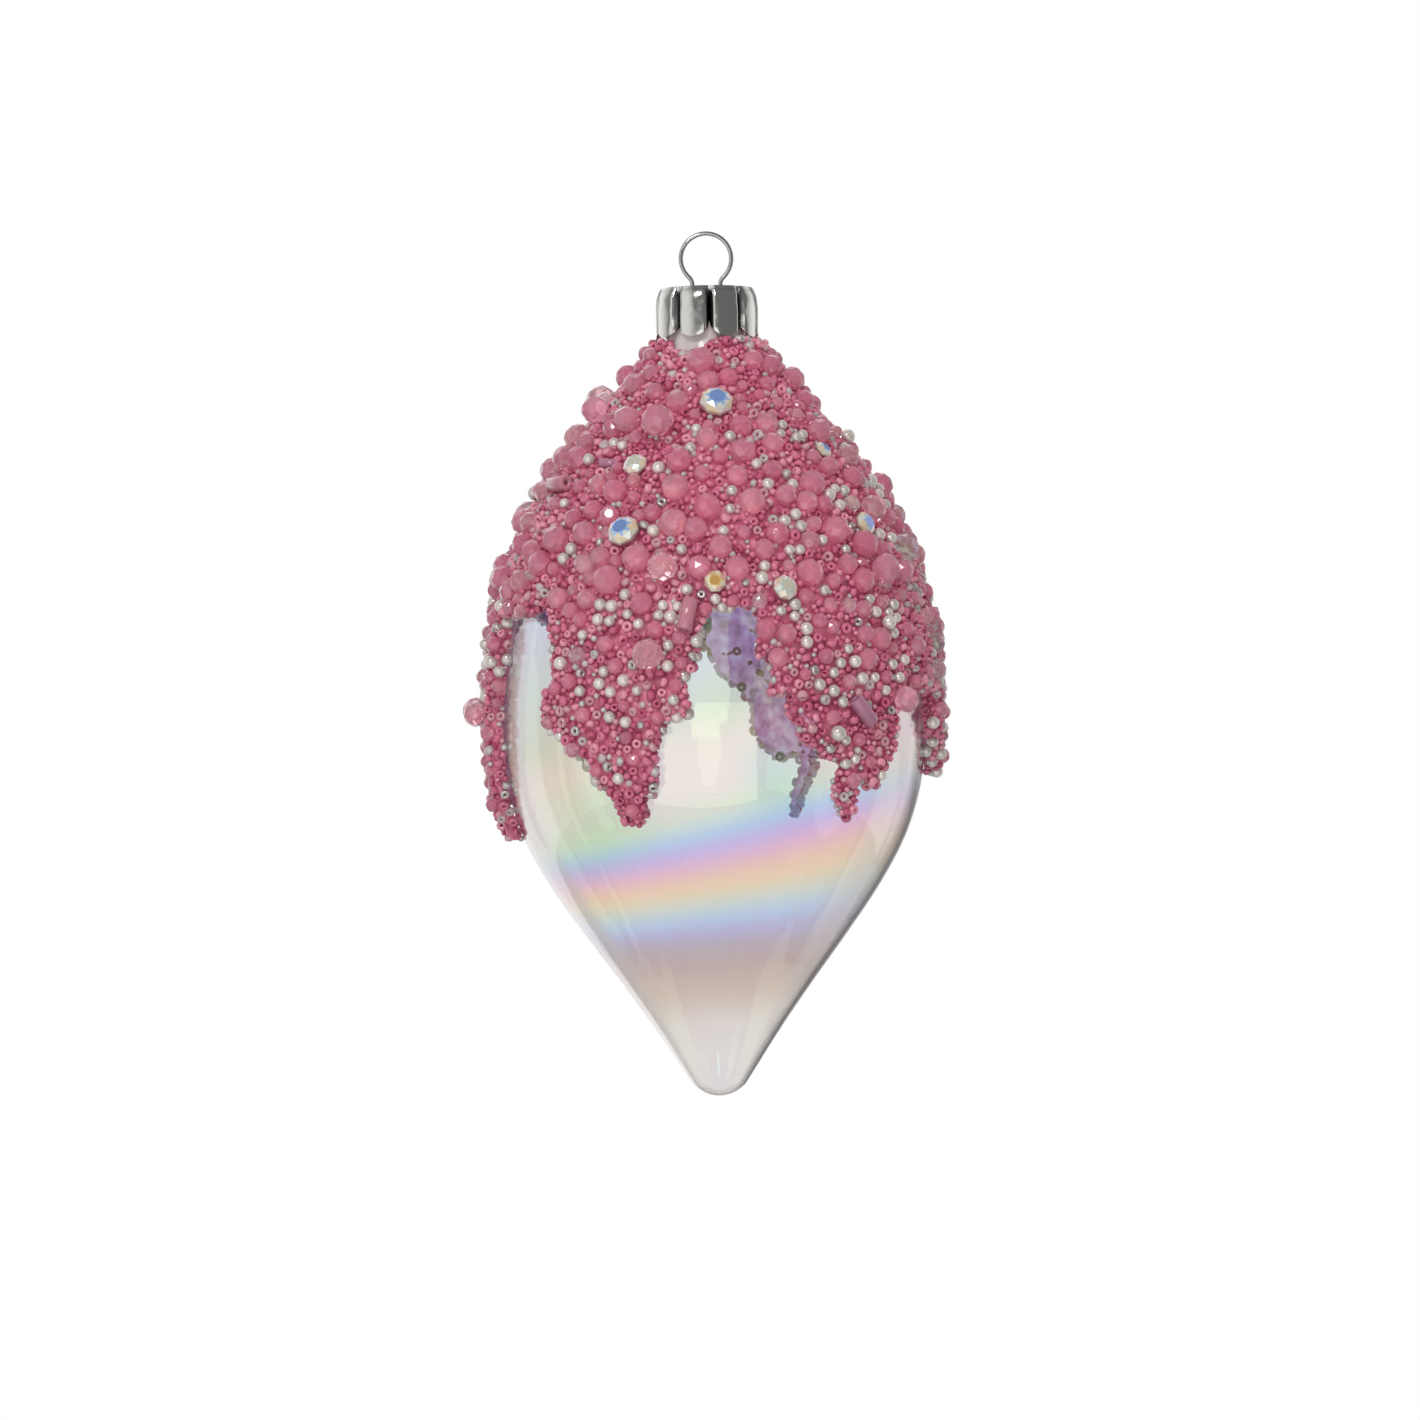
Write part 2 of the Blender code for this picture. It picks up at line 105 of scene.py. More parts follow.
# Cap
CAP_PETALS = 9
CAP_PETAL_COLUMNS = 28
CAP_PETAL_FLAT = 0.68         # share of a petal's half width that stays flat
CAP_PETAL_TURN = math.radians(-17)
CAP_SHEET = 0.35 * MM
CAP_ROWS = 18
CAP_NOTCH = 2.7 * MM          # how much higher the skirt ends between two petals
CAP_EDGE = 0.5 * MM
CAP_SLIT = 0.6 * MM
CAP_DENT = 0.16 * MM
CAP_DISC = 0.88               # the disc's share of the cap's radius
CAP_HOLE = 0.62 * MM
CAP_SHARP_EDGE = math.radians(50)
CAP_SILVER = (0.78, 0.765, 0.74)
# Painted shade in the creases between the petals: its colour, and where it fades into the silver
CAP_SHADE = (0.16, 0.155, 0.155)
CAP_CREASE_SHADE_FADE = (0.885, 0.975)  # shares of the cap's radius over which the painted crease shade fades into the silver

# Wire
WIRE_ROUNDNESS = 5
LOOP_ARC_END = math.radians(45)

# Studio
WORLD_SOFT = 0.46             # strength of the white world for diffuse light
MIRROR_FRONT = 0.15           # what a mirror sees of the studio's front
FLAG_MIRRORED = 0.75          # how dark the flag is in a mirror
FLAG_LEVEL = 0.12             # how dark it is through the glass, at mid height and low down
FLAG_LOW = 0.78
# Lights: name, place from the object's middle, size and power
WINDOW = ("window", (-0.1, -1.0, -0.25), 1.1, 0.69, 2.35)
KEY = ("key", (-0.2, -0.72, 0.48), 0.2, 0.2, 1.8)
TOP = ("top", (0.1, -0.3, 0.56), 0.34, 0.34, 0.9)
FLOOR_RADIUS = 1.2
FLOOR_DROP = 0.5

# Camera
LENS = 120
SENSOR = 36
CAMERA_ASIDE = -0.6 * MM
FILL = 0.609                  # the object's share of the frame's height
RAISED = 0.0327               # how far its middle is above the frame's, as a share of the frame
LEAN_DEG = 0.95

# Glue and beads
GLUE_CUTS = 3
GLUE_GLOW = 0.8               # painted light through the beads, glowing on the glue at the back and at the front
GLUE_GLOW_FRONT = 0.3
# strength of the painted glow in the glue's own colour, which lightens its shadows
GLUE_PAINTED_GLOW = 0.06
GLUE_BACK = 8 * MM            # y behind which the glue against the glass counts as at the back
GLUE_NECK = -32 * MM          # height above which it counts as at the neck
RAGGED_UP = 5.0 * MM
RAGGED_TURN = 0.08
RAGGED_RADIUS = 36 * MM
LEFT_DRIP = (-0.87, 0.0)      # azimuths of the front left drip, which is drawn in to its point
LEFT_TIP_AZIMUTH = -0.385
LEFT_TIP_FROM = -85 * MM
LEFT_TIP_REACH = 12 * MM
LEFT_TIP_SQUEEZE = 0.58
NECK_BARE = 2.6 * MM
NECK_BARE_AZIMUTH = -0.4
NECK_BARE_WIDTH = 0.6
NECK_FILM = (-14.0, -25.0)
NECK_FILM_THICKNESS = 0.15 * MM
SAMPLES = 150000
OUTER_FACES = -0.35           # least outward facing of the triangles that carry beads
BIG_FACES = 0.4               # the same for beads over 1 mm in radius
# How much deeper in the glue the CAD beads sit here
SINK = {"crystal_stone": 0.7 * MM, "faceted_bead": 0.9 * MM, "tube_bead": 0.5 * MM,
        "pearl": 0.5 * MM}
CUT_SIZE = 0.95               # sizes of the beads as shares of the CAD solids'
TUBE_SIZE = 0.45
PEARL_SIZE = 0.88
TUBE_SPIN = 1.37
TUBE_TURN = 0.9
# The drips behind the front gap: how far right of the back they reach, as x over y, and from where
BEHIND_GAP = 0.75
BEHIND_TOP = -0.05
BEHIND_EDGE = 0.5
# Stone colours: (name, table, star, crown, painted glints on every other crown facet)
STONE_HUES = (
    ("blue", (0.26, 0.40, 0.80), (0.40, 0.60, 0.90), (0.84, 0.82, 0.72), (0.88, 0.70, 0.45)),
    ("gold", (0.78, 0.44, 0.12), (0.90, 0.66, 0.25), (0.90, 0.80, 0.60), (0.80, 0.50, 0.35)),
    ("cream", (0.80, 0.76, 0.60), (0.62, 0.74, 0.70), (0.84, 0.80, 0.70), (0.90, 0.70, 0.50)))
STONE_KINDS = 5
STONE_HUE_OF = {"crystal_stone_7": 1, "crystal_stone_4": 2, "crystal_stone_5": 2,
                "crystal_stone_9": 2}
CELLS = (6.6 * MM, 2.2 * MM)  # each at least the two largest radii together of its beads
NEIGHBOURS = sorted(((x, y, z) for x in (-1, 0, 1) for y in (-1, 0, 1) for z in (-1, 0, 1)),
                    key=lambda step: sum(abs(c) for c in step))


def linear(colour):
    """Linear values of a colour given as 0 to 255."""
    shares = [c / FULL_RGB for c in colour]
    return [c / 12.92 if c <= 0.04045 else ((c + 0.055) / 1.055) ** 2.4 for c in shares]


# --- Materials ---

def principled(name, colour, roughness, **values):
    """Principled material; keyword names are socket names with underscores for spaces."""
    material = bpy.data.materials.new(name)
    material.use_nodes = True
    shader = material.node_tree.nodes["Principled BSDF"]
    shader.inputs["Base Color"].default_value = (*colour, 1.0)
    shader.inputs["Roughness"].default_value = roughness
    for key, value in values.items():
        shader.inputs[key.replace("_", " ")].default_value = value
    return material


def node(owner, kind, links=(), **settings):
    """New node in a material or world; links are (input name or number, output socket or value)."""
    made = owner.node_tree.nodes.new(kind)
    for key, value in settings.items():
        setattr(made, key, value)
    for target, source in links:
        if hasattr(source, "is_output"):
            owner.node_tree.links.new(source, made.inputs[target])
        else:
            made.inputs[target].default_value = source
    return made


def shader_of(material):
    return material.node_tree.nodes["Principled BSDF"]


def set_from(material, target, socket):
    """The shader's input taken from an output socket."""
    material.node_tree.links.new(socket, shader_of(material).inputs[target])


def object_place(material):
    return node(material, "ShaderNodeTexCoord").outputs["Object"]


def noise_at(material, scale, detail):
    """Noise over the object, as an output socket."""
    return node(material, "ShaderNodeTexNoise", [
        ("Vector", object_place(material)), ("Scale", scale), ("Detail", detail)]).outputs["Fac"]


def add_bump(material, scale, strength, distance, detail=2.0):
    bump = node(material, "ShaderNodeBump", [("Height", noise_at(material, scale, detail)),
                                             ("Strength", strength), ("Distance", distance)])
    set_from(material, "Normal", bump.outputs["Normal"])


def mottle(material, scale, colours, low=0.35, high=0.65):
    """Base colour from noise, through a ramp of the given linear colours."""
    ramp = node(material, "ShaderNodeValToRGB", [("Fac", noise_at(material, scale, 3.0))])
    step = (high - low) / (len(colours) - 1)
    fill_ramp(ramp, [(low + step * i, colour) for i, colour in enumerate(colours)])
    set_from(material, "Base Color", ramp.outputs["Color"])


def fill_ramp(ramp, stops):
    """Stops of a colour ramp, as (place, linear colour)."""
    elements = ramp.color_ramp.elements
    while len(elements) < len(stops):
        elements.new(0.5)
    for element, (place, colour) in zip(elements, stops):
        element.position = place
        element.color = (*colour, 1.0)


def vary_roughness(material, scale, low, high):
    ranged = node(material, "ShaderNodeMapRange", [("Value", noise_at(material, scale, 4.0)),
                                                   ("To Min", low), ("To Max", high)])
    set_from(material, "Roughness", ranged.outputs["Result"])


def glow_own_colour(material, strength):
    """Emission in the colour that is already linked to the base colour."""
    shader = shader_of(material)
    set_from(material, "Emission Color", shader.inputs["Base Color"].links[0].from_socket)
    shader.inputs["Emission Strength"].default_value = strength


def mix_colour(material, share, colour, other, blend):
    """Output socket of a colour mix between a linked colour and a constant one."""
    mixed = node(material, "ShaderNodeMix", [("Factor", share)], data_type="RGBA", blend_type=blend)
    sockets = [s for s in mixed.inputs if s.enabled and s.type == "RGBA"]
    material.node_tree.links.new(colour, sockets[0])
    sockets[1].default_value = (*other, 1.0)
    return next(s for s in mixed.outputs if s.enabled)


def lustre_glass_painted_light():
    """Clear glass with a pearly lustre: tilted pastel bands and soft patches, partly its film's own
    colour and partly painted reflections of the studio's lights, and painted shade that greys it at
    its limb.
    """
    material = principled("lustre_glass_painted_light", (0.9, 0.9, 0.9), 0.015, IOR=1.46, Transmission_Weight=1.0,
                          Thin_Film_Thickness=LUSTRE_FILM, Thin_Film_IOR=1.6)
    place = object_place(material)
    axes = node(material, "ShaderNodeSeparateXYZ", [("Vector", place)])
    drift = node(material, "ShaderNodeTexNoise", [("Vector", place), ("Scale", 14.0),
                                                  ("Detail", 1.0)])
    tilt = node(material, "ShaderNodeMapRange", [
        ("Value", axes.outputs["Z"]), ("From Min", BAND_TILT_HEIGHTS[1]),
        ("From Max", BAND_TILT_HEIGHTS[0]), ("To Min", BAND_TILT_LOW), ("To Max", BAND_TILT_TOP)])
    sideways = node(material, "ShaderNodeMath", [
        (0, axes.outputs["X"]), (1, tilt.outputs["Result"])], operation="MULTIPLY")
    level = node(material, "ShaderNodeMath", [(0, axes.outputs["Z"]), (1, sideways.outputs[0])],
                 operation="SUBTRACT")
    wander = node(material, "ShaderNodeMath", [(0, drift.outputs["Fac"]), (1, BAND_WANDER),
                                               (2, level.outputs[0])], operation="MULTIPLY_ADD")
    top, low = BANDS[0][0] * MM, BANDS[-1][0] * MM
    factor = node(material, "ShaderNodeMapRange", [
        ("Value", wander.outputs[0]), ("From Min", top + BAND_WANDER / 2),
        ("From Max", low + BAND_WANDER / 2)])
    # Band colours by height: partly the lustre's own colour, partly painted reflections of the
    # studio's lights
    ramp = node(material, "ShaderNodeValToRGB", [("Fac", factor.outputs["Result"])])
    # light passes the front and the back wall, so each wall holds half of the colour
    stops = [((z * MM - top) / (low - top),
              [min(1.0, BAND_GAIN * c) ** 0.5 for c in linear(colour)]) for z, colour in BANDS]
    fill_ramp(ramp, stops)
    colour = ramp.outputs["Color"]
    for x, z, reach, tint in LUSTRE_REFLECTION_PATCHES:
        flat = node(material, "ShaderNodeCombineXYZ", [("X", axes.outputs["X"]),
                                                       ("Z", axes.outputs["Z"])])
        away = node(material, "ShaderNodeVectorMath", [
            (0, flat.outputs[0]), (1, (x * MM, 0, z * MM))], operation="DISTANCE")
        share = node(material, "ShaderNodeMapRange", [
            ("Value", away.outputs["Value"]), ("From Min", 0.0), ("From Max", reach * MM),
            ("To Min", 1.0), ("To Max", 0.0)], interpolation_type="SMOOTHSTEP")
        colour = mix_colour(material, share.outputs["Result"], colour, tint, "MULTIPLY")
    # Painted shade: the glass greys towards its outline, sooner on the right
    facing = node(material, "ShaderNodeLayerWeight", [("Blend", 0.5)]).outputs["Facing"]
    leaned = node(material, "ShaderNodeMath", [(0, axes.outputs["X"]), (1, LIMB_LEAN), (2, facing)],
                  operation="MULTIPLY_ADD")
    limb_shade = node(material, "ShaderNodeMapRange", [
        ("Value", leaned.outputs[0]), ("From Min", LIMB[0]), ("From Max", LIMB[1])],
        interpolation_type="SMOOTHSTEP")
    set_from(material, "Base Color",
             mix_colour(material, limb_shade.outputs["Result"], colour, LIMB_SHADE_COLOUR, "MIX"))
    return material


# --- Meshes from arrays ---

def skin_rings(rings, close=False):
    """bmesh through rings of points; a ring of one point is a pole."""
    bm = bmesh.new()
    rows = [[bm.verts.new(point) for point in ring] for ring in rings]
    following = rows[1:] + rows[:1] if close else rows[1:]
    for upper, lower in zip(rows, following):
        count = max(len(upper), len(lower))
        for i in range(count if count > 1 else 0):
            corners = []
            for vert in (upper[i % len(upper)], upper[(i + 1) % len(upper)],
                         lower[(i + 1) % len(lower)], lower[i % len(lower)]):
                if vert not in corners:
                    corners.append(vert)
            bm.faces.new(corners)
    bmesh.ops.recalc_face_normals(bm, faces=bm.faces)
    return bm


def mesh_of(bm, name, smooth=True):
    mesh = bpy.data.meshes.new(name)
    bm.to_mesh(mesh)
    bm.free()
    if smooth:
        mesh.shade_smooth()
    return mesh


def add_object(name, data):
    made = bpy.data.objects.new(name, data)
    bpy.context.scene.collection.objects.link(made)
    return made


def add_piece(name, data, materials, body, replaced=()):
    """Visible piece riding on a body, in place of the CAD nodes it replaces."""
    piece = add_object(name, data)
    for material in materials:
        data.materials.append(material)
    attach(piece, body)
    if replaced:
        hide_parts(*replaced)
    return piece


def around(radius, azimuth, z):
    """Point at an azimuth about the drop's axis."""
    return Vector((radius * math.sin(azimuth), -radius * math.cos(azimuth), z))


def turned_ring(radius, z, segments, twist=0.0):
    return [around(radius, math.tau * (i + twist) / segments, z) for i in range(segments)]


# --- Glass drop ---

def tree_of(name):
    """Search tree of a CAD node's faces."""
    mesh = frame["nodes"][name].data
    return BVHTree.FromPolygons([v.co for v in mesh.vertices], [p.vertices for p in mesh.polygons])


def glass_column():
    """Outer points (radius, height) of the CAD glass in the plane of azimuth 0, neck to tip."""
    tree = tree_of("glass_body")
    column = set()
    for vert in frame["nodes"]["glass_body"].data.vertices:
        if abs(vert.co.x) < 1e-6 and vert.co.y <= 1e-6:
            column.add((round(vert.co.z, 6), round(-vert.co.y, 6)))
    outer = []
    for z, radius in sorted(column, reverse=True):
        hit = tree.ray_cast(Vector((1e-5, -0.2, z)), Vector((0, 1, 0)))[0]
        if hit is None or radius > -hit.y - 0.1 * MM:
            outer.append((radius, z))
    return outer


def smooth_outline(points, count):
    """Points evenly along a smooth curve through the outline, which ends on the axis."""
    knots = [np.array(p) for p in points]
    knots = [2 * knots[0] - knots[1]] + knots + [knots[-2] * np.array([-1, 1])]
    fine = []
    for a, b, c, d in zip(knots, knots[1:], knots[2:], knots[3:]):
        for t in np.linspace(0, 1, 24, endpoint=False):
            fine.append(0.5 * (2 * b + (c - a) * t + (2 * a - 5 * b + 4 * c - d) * t * t
                               + (3 * b - a - 3 * c + d) * t ** 3))
    fine.append(knots[-2])
    fine = np.array(fine)
    run = np.concatenate([[0], np.cumsum(np.linalg.norm(np.diff(fine, axis=0), axis=1))])
    even = np.linspace(0, run[-1], count)
    return np.stack([np.interp(even, run, fine[:, 0]), np.interp(even, run, fine[:, 1])], axis=1)


def make_glass():
    """Thin blown wall inside the CAD glass's outline, thinner at the tip."""
    outer = smooth_outline(glass_column(), GLASS_POINTS)
    along = np.gradient(outer, axis=0)
    along /= np.linalg.norm(along, axis=1)[:, None]
    inward = np.stack([along[:, 1], -along[:, 0]], axis=1)
    low_z, high_z = outer[-1, 1], outer[0, 1]
    near_tip = np.clip(1 - (outer[:, 1] - low_z) / GLASS_TIP_REACH, 0, 1)
    wall = GLASS_WALL + (GLASS_TIP_WALL - GLASS_WALL) * near_tip
    inner = outer + inward * wall[:, None]
    rings = [turned_ring(r, z, GLASS_SEGMENTS) for r, z in outer[:-1]]
    rings.append([Vector((0, 0, low_z))])
    rings.append([Vector((0, 0, low_z + GLASS_TIP_WALL))])
    rings += [turned_ring(max(r, 0.05 * MM), min(z, high_z), GLASS_SEGMENTS)
              for r, z in inner[-2::-1]]
    mesh = mesh_of(skin_rings(rings, close=True), "glass_drop")
    add_piece("glass_drop", mesh, [lustre_glass_painted_light()], "drop", ["glass_body"])


# --- Crown cap ---

def cap_ring(row, inset, box):
    """One ring of the skirt: row 0 at the disc's edge, row 1 along the petals' ends."""
    low, high = box
    ring = []
    count = CAP_PETALS * CAP_PETAL_COLUMNS
    wide = (high.x - low.x) / 2
    shoulder = math.sin(min(1.0, row * 6) * math.pi / 2)
    for i in range(count):
        azimuth = CAP_PETAL_TURN + math.tau * i / count
        across = 2 * ((i / CAP_PETAL_COLUMNS) % 1.0)
        across = across if across <= 1 else across - 2
        bulge = math.sqrt(max(0.0, 1 - across * across))
        bottom = low.z + CAP_NOTCH * (1 - bulge)
        top = high.z - CAP_EDGE * 0.9
        z = top + (bottom - top) * row + CAP_EDGE * 0.9 * (1 - shoulder)
        peak = wide * (0.915 + 0.06 * shoulder + 0.03 * row + 0.022 * math.sin(math.pi * row))
        valley = wide * (0.90 - 0.035 * shoulder + 0.01 * row)
        fall = min(1.0, max(0.0, (abs(across) - CAP_PETAL_FLAT) / (0.98 - CAP_PETAL_FLAT)))
        lift = (1 - fall * fall * (3 - 2 * fall)) * (0.55 + 0.45 * bulge)
        radius = valley + (peak - valley) * lift - inset
        if bulge < 0.02:
            radius -= CAP_SLIT * min(1.0, row * 3)
        dent = noise.noise(around(radius, azimuth, z) * 420) * CAP_DENT * min(1.0, row * 3)
        ring.append(around(min(radius + dent, wide - inset), azimuth, z))
    return ring


def make_cap():
    """Stamped cap: a disc with two wire holes and a skirt of petals."""
    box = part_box("cap")
    count = CAP_PETALS * CAP_PETAL_COLUMNS
    high_z = box[1].z
    wide = (box[1].x - box[0].x) / 2
    disc = wide * CAP_DISC
    rows = [i / CAP_ROWS for i in range(CAP_ROWS + 1)]
    rings = [turned_ring(disc * share, high_z, count) for share in (0.55, 0.85, 0.97)]
    rings += [cap_ring(row, 0.0, box) for row in rows]
    rings += [cap_ring(row, CAP_SHEET, box) for row in reversed(rows[2:])]
    rings += [turned_ring(disc * share - CAP_SHEET, high_z - CAP_SHEET, count)
              for share in (0.97, 0.55)]
    bm = skin_rings(rings)
    bmesh.ops.holes_fill(bm, edges=[e for e in bm.edges if e.is_boundary], sides=0)
    bmesh.ops.recalc_face_normals(bm, faces=bm.faces)
    mesh = mesh_of(bm, "crown_cap", smooth=False)
    metal = principled("stamped_silver", CAP_SILVER, 0.12, Metallic=1.0)
    vary_roughness(metal, 700.0, 0.08, 0.24)
    # painted shade down in the creases between the petals
    paint_crease_shade(metal, wide, high_z)
    add_bump(metal, 900.0, 0.12, 0.0002)
    cap = add_piece("crown_cap", mesh, [metal], "cap_body", ["cap"])
    cutters = [cut_hole(cap, leg["pos_m"][0], high_z) for leg in leg_joints()]
    graph = bpy.context.evaluated_depsgraph_get()
    cut = bpy.data.meshes.new_from_object(cap.evaluated_get(graph), depsgraph=graph)
    cap.modifiers.clear()
    cap.data = cut
    cut.shade_smooth()
    cut.set_sharp_from_angle(angle=CAP_SHARP_EDGE)
    for cutter in cutters:
        bpy.data.objects.remove(cutter)


def paint_crease_shade(metal, wide, high_z):
    """Painted shade: darker colour down in the creases between the petals, where shade falls, but
    not on the disc.
    """
    axes = node(metal, "ShaderNodeSeparateXYZ", [("Vector", object_place(metal))])
    flat = node(metal, "ShaderNodeCombineXYZ", [("X", axes.outputs["X"]), ("Y", axes.outputs["Y"])])
    radius = node(metal, "ShaderNodeVectorMath", [(0, flat.outputs[0])], operation="LENGTH")
    petal = node(metal, "ShaderNodeMapRange", [
        ("Value", radius.outputs["Value"]), ("From Min", wide * CAP_CREASE_SHADE_FADE[0]),
        ("From Max", wide * CAP_CREASE_SHADE_FADE[1])], interpolation_type="SMOOTHSTEP")
    disc = node(metal, "ShaderNodeMapRange", [
        ("Value", axes.outputs["Z"]), ("From Min", high_z - 1.0 * MM),
        ("From Max", high_z - 0.4 * MM)])
    unshaded = node(metal, "ShaderNodeMath", [
        (0, petal.outputs["Result"]), (1, disc.outputs["Result"])], operation="MAXIMUM")
    shade = node(metal, "ShaderNodeValToRGB", [("Fac", unshaded.outputs[0])])
    fill_ramp(shade, ((0.0, CAP_SHADE), (1.0, CAP_SILVER)))
    set_from(metal, "Base Color", shade.outputs["Color"])


def leg_joints():
    """The two hinges at which the legs leave the cap's wire holes."""
    return [joint for joint in frame["joints"] if joint["type"] == "hinge"]


def cut_hole(cap, x, z):
    """Adds a Boolean cut through the cap's disc and returns its cutter."""
    bm = bmesh.new()
    bmesh.ops.create_cone(bm, cap_ends=True, segments=24, radius1=CAP_HOLE, radius2=CAP_HOLE,
                          depth=3 * MM)
    cutter = add_object("hole_cutter", mesh_of(bm, "hole_cutter"))
    cutter.location = (x, 0, z)
    cut = cap.modifiers.new("hole", "BOOLEAN")
    cut.object = cutter
    return cutter


# --- Wire hanger ---

def tube(name, points, radius, material, body, replaced):
    """Round wire along the points."""
    curve = bpy.data.curves.new(name, "CURVE")
    curve.dimensions = "3D"
    curve.bevel_depth = radius
    curve.bevel_resolution = WIRE_ROUNDNESS
    curve.use_fill_caps = True
    spline = curve.splines.new("POLY")
    spline.points.add(len(points) - 1)
    for target, point in zip(spline.points, points):
        target.co = (*point, 1.0)
    spline.use_smooth = True
    add_piece(name, curve, [material], body, [replaced])


def bezier(handles, count):
    """Points along one cubic curve through its four handles."""
    points = []
    for t in np.linspace(0, 1, count):
        weights = ((1 - t) ** 3, 3 * t * (1 - t) ** 2, 3 * t * t * (1 - t), t ** 3)
        points.append(sum((h * w for w, h in zip(weights, handles)), Vector()))
    return points


def make_hanger(material):
    """Round loop whose ends bend into the two stubs through the cap."""
    low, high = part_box("hanger_ring")
    wire = (high.y - low.y) / 2
    loop = (high.x - low.x) / 2 - wire
    centre_z = high.z - wire - loop
    stub_x = max(leg["pos_m"][0] for leg in leg_joints())
    cap_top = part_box("cap")[1].z
    sides = []
    for side in (-1, 1):
        def on_loop(angle):
            return Vector((side * loop * math.sin(angle), 0, centre_z - loop * math.cos(angle)))

        start = Vector((side * stub_x, 0, cap_top + 0.1 * MM))
        end = on_loop(LOOP_ARC_END)
        tangent = Vector((side * math.cos(LOOP_ARC_END), 0, math.sin(LOOP_ARC_END)))
        reach = (end - start).length * 0.45
        points = [Vector((side * stub_x, 0, z)) for z in (low.z, (low.z + start.z) / 2)]
        points += bezier((start, start + Vector((0, 0, reach)), end - tangent * reach, end), 9)
        points += [on_loop(angle) for angle in np.linspace(LOOP_ARC_END, math.pi, 34)[1:]]
        sides.append(points)
    tube("wire_loop", sides[0] + sides[1][-2::-1], wire, material, "hanger", "hanger_ring")


def make_legs(material):
    """Splayed legs below the cap, each from its hinge to its tip."""
    for body, side in (("leg_left", -1), ("leg_right", 1)):
        name = "spring_" + body
        low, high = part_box(name)
        wire = (high.y - low.y) / 2
        joint = next(j for j in frame["joints"] if j["child"] == body)
        pivot = Vector(joint["pos_m"])
        far_x = (high.x if side > 0 else low.x) - side * wire
        tip = Vector((far_x, 0, low.z + wire * 0.3))
        along = (tip - pivot).normalized()
        top = pivot + along * 0.25 * MM
        points = bezier((top, top + along * 6 * MM, tip - along * 5 * MM, tip), 14)
        tube(name.replace("spring", "wire"), points, wire, material, body, name)


# --- Glue ---

def glue_material():
    """Pink glue, a little translucent, with a faint painted glow in its own colour that lightens
    its shadows.
    """
    material = principled("pink_glue", (0.55, 0.15, 0.24), 0.32, Subsurface_Weight=0.25,
                          Subsurface_Scale=0.0015, Coat_Weight=0.5, Coat_Roughness=0.15)
    shader_of(material).inputs["Subsurface Radius"].default_value = (1.0, 0.35, 0.4)
    mottle(material, 420.0, ((0.50, 0.075, 0.17), (0.68, 0.16, 0.27), (0.80, 0.28, 0.37)))
    glow_own_colour(material, GLUE_PAINTED_GLOW)
    add_bump(material, 900.0, 0.6, 0.0006, detail=4.0)
    return material


def glass_radius_at(heights):
    """Outer radius of the CAD glass at the given heights."""
    column = np.array(glass_column()[::-1])
    return np.interp(heights, column[:, 1], column[:, 0])


def ragged(points):
    """The crust's points slid over the glass: uneven drips, and a barer neck at the front left."""
    azimuths = np.arctan2(points[:, 0], -points[:, 1])
    heights = points[:, 2]
    in_drips = np.clip((-0.060 - heights) / 0.012, 0, 1)
    at_neck = np.clip((heights + 0.0250) / 0.005, 0, 1)
    bare = np.clip(1 - ((azimuths - NECK_BARE_AZIMUTH) / NECK_BARE_WIDTH) ** 2, 0, 1)
    spots = [around(RAGGED_RADIUS, azimuth, z) for azimuth, z in zip(azimuths, heights)]

    def uneven(scale, offset):
        return np.array([noise.noise(spot * scale + Vector(offset)) for spot in spots])

    up = uneven(230, (3, 6, 8)) * RAGGED_UP * in_drips
    up -= NECK_BARE * bare * at_neck
    turn = uneven(190, (13, 1, 5)) * RAGGED_TURN * in_drips
    in_left_drip = (azimuths > LEFT_DRIP[0]) & (azimuths < LEFT_DRIP[1])
    squeeze = LEFT_TIP_SQUEEZE * np.clip((LEFT_TIP_FROM - heights) / LEFT_TIP_REACH, 0, 1)
    turn += np.where(in_left_drip, (LEFT_TIP_AZIMUTH - azimuths) * squeeze, 0.0)
    radius = np.hypot(points[:, 0], points[:, 1])
    radius += glass_radius_at(heights + up) - glass_radius_at(heights)
    return np.stack([radius * np.sin(azimuths + turn), -radius * np.cos(azimuths + turn),
                     heights + up], axis=1)


def glowing_glue(name, strength, scale, colours):
    """Glue that lies against the glass, with a painted glow in its mottled colours, as lit through
    its beads from behind.
    """
    material = principled(name, colours[1], 0.5)
    mottle(material, scale, colours, 0.3, 0.7)
    glow_own_colour(material, strength)
    return material


